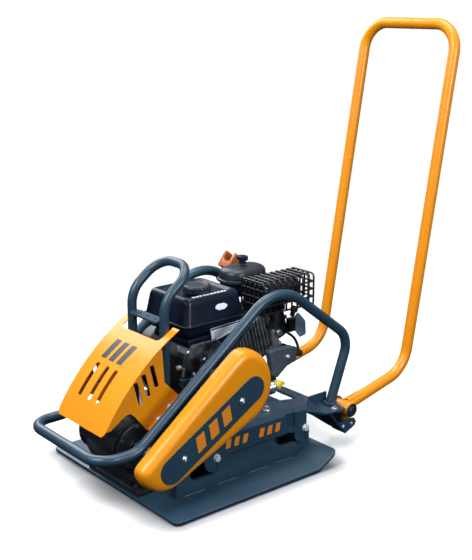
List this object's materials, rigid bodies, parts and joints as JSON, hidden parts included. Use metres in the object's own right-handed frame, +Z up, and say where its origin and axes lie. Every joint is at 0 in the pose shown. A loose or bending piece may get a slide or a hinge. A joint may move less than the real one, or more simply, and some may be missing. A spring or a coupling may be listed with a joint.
{
  "type": "plate compactor",
  "caption": "Forward plate compactor with a petrol engine, belt guard, front hood, lifting hoop and a fold-forward tubular handle.",
  "frame": {"origin": "centre of the base plate's flat underside, on the ground", "axes": "+Z up, -Y the way the machine travels (hood and bumper), +X the belt side, which is the left hand of an operator behind the handle"},
  "size_m": [0.5, 1.0933, 1.0149],
  "materials": {
    "orange_paint": "satin powder coat",
    "slate_paint": "satin powder coat",
    "black_steel": "satin black",
    "engine_black": "gloss black",
    "black_rubber": "matte",
    "zinc_steel": "zinc plated",
    "cast_aluminium": "as cast",
    "cast_iron": "rough",
    "dark_plastic": "fine grain",
    "yellow_plastic": "gloss",
    "amber_polyurethane": "satin, slightly soft"
  },
  "bodies": {
    "base": {"base_plate": "slate_paint", "base_rib_left": "slate_paint", "base_rib_right": "slate_paint", "mount_beam_front": "slate_paint", "mount_beam_rear": "slate_paint", "rubber_mount_front_left": "black_rubber", "rubber_mount_front_right": "black_rubber", "rubber_mount_rear_left": "black_rubber", "rubber_mount_rear_right": "black_rubber", "exciter_housing": "black_steel", "exciter_cover_left": "black_steel", "exciter_cover_right": "black_steel", "exciter_bearing_left": "zinc_steel", "exciter_bearing_right": "zinc_steel", "drive_belt": "black_rubber"},
    "exciter": {"exciter_shaft": "zinc_steel", "eccentric_weight": "cast_iron", "exciter_pulley": "cast_iron"},
    "deck": {"deck_plate": "slate_paint", "bumper_tube": "slate_paint", "side_rail_left": "slate_paint", "side_rail_right": "slate_paint", "lifting_hoop": "slate_paint", "hoop_cross_plate": "slate_paint", "front_hood": "orange_paint", "hood_bracket": "slate_paint", "belt_guard": "orange_paint", "guard_back_plate": "black_steel", "guard_label_strip": "slate_paint", "handle_bracket_left": "slate_paint", "handle_bracket_right": "slate_paint", "pivot_bolt_left": "black_steel", "pivot_bolt_right": "black_steel", "handle_clip": "amber_polyurethane", "crankcase": "cast_aluminium", "finned_cylinder": "cast_aluminium", "valve_cover": "engine_black", "cylinder_shroud": "dark_plastic", "spark_plug": "dark_plastic", "blower_housing": "engine_black", "fuel_tank": "engine_black", "air_cleaner_base": "engine_black", "air_cleaner_cover": "dark_plastic", "muffler": "cast_iron", "muffler_guard": "black_steel", "carburettor": "cast_aluminium"},
    "crank": {"crankshaft": "zinc_steel", "flywheel": "cast_iron", "clutch_pulley": "cast_iron"},
    "handle": {"handle_tube": "orange_paint", "handle_pivot_left": "orange_paint", "handle_pivot_right": "orange_paint"},
    "cap": {"fuel_cap": "engine_black"},
    "knob": {"air_cleaner_knob": "engine_black"},
    "throttle": {"throttle_lever": "black_steel"},
    "choke": {"choke_lever": "dark_plastic"},
    "fuel_cock": {"fuel_cock_lever": "dark_plastic"},
    "switch": {"engine_switch": "engine_black"},
    "dipstick": {"oil_dipstick": "yellow_plastic"},
    "starter": {"starter_grip": "dark_plastic"}
  },
  "joints": [
    {"name": "deck_bounce", "type": "slide", "parent": "base", "child": "deck", "axis": [0, 0, 1], "range_m": [-0.004, 0.004], "stiffness_N_per_m": 400000, "springref_m": 0.0013, "deforming": ["drive_belt"]},
    {"name": "exciter_spin", "type": "hinge", "parent": "base", "child": "exciter", "pos_m": [0, -0.212, 0.118], "axis": [1, 0, 0], "continuous": true},
    {"name": "crank_spin", "type": "hinge", "parent": "deck", "child": "crank", "pos_m": [0, -0.01, 0.236], "axis": [1, 0, 0], "continuous": true},
    {"name": "handle_fold", "type": "hinge", "parent": "deck", "child": "handle", "pos_m": [0, 0.352, 0.088], "axis": [1, 0, 0], "range_deg": [0, 63]},
    {"name": "fuel_cap_turn", "type": "hinge", "parent": "deck", "child": "cap", "pos_m": [0.02, 0, 0.42], "axis": [0, 0, 1], "range_deg": [0, 90]},
    {"name": "air_cleaner_knob_turn", "type": "hinge", "parent": "deck", "child": "knob", "pos_m": [-0.054, 0.198, 0.4383], "axis": [0, 0, 1], "continuous": true},
    {"name": "throttle_turn", "type": "hinge", "parent": "deck", "child": "throttle", "pos_m": [-0.102, 0.046, 0.342], "axis": [1, 0, 0], "range_deg": [0, 40]},
    {"name": "choke_turn", "type": "hinge", "parent": "deck", "child": "choke", "pos_m": [-0.105, 0.128, 0.34], "axis": [1, 0, 0], "range_deg": [-75, 0]},
    {"name": "fuel_cock_turn", "type": "hinge", "parent": "deck", "child": "fuel_cock", "pos_m": [-0.105, 0.124, 0.312], "axis": [1, 0, 0], "range_deg": [-90, 0]},
    {"name": "engine_switch_turn", "type": "hinge", "parent": "deck", "child": "switch", "pos_m": [-0.03, -0.0843, 0.262], "axis": [0, 1, 0], "range_deg": [0, 60]},
    {"name": "oil_dipstick_turn", "type": "hinge", "parent": "deck", "child": "dipstick", "pos_m": [0.08983, 0.17898, 0.16784], "axis": [0.165, 0.9748, 0.15], "continuous": true},
    {"name": "starter_pull", "type": "slide", "parent": "deck", "child": "starter", "axis": [0, 1, 0], "range_m": [0, 0.35], "stiffness_N_per_m": 30, "springref_m": -0.1}
  ],
  "couplings": [
    {"joint": "exciter_spin", "follows": "crank_spin", "ratio": 1.4}
  ]
}
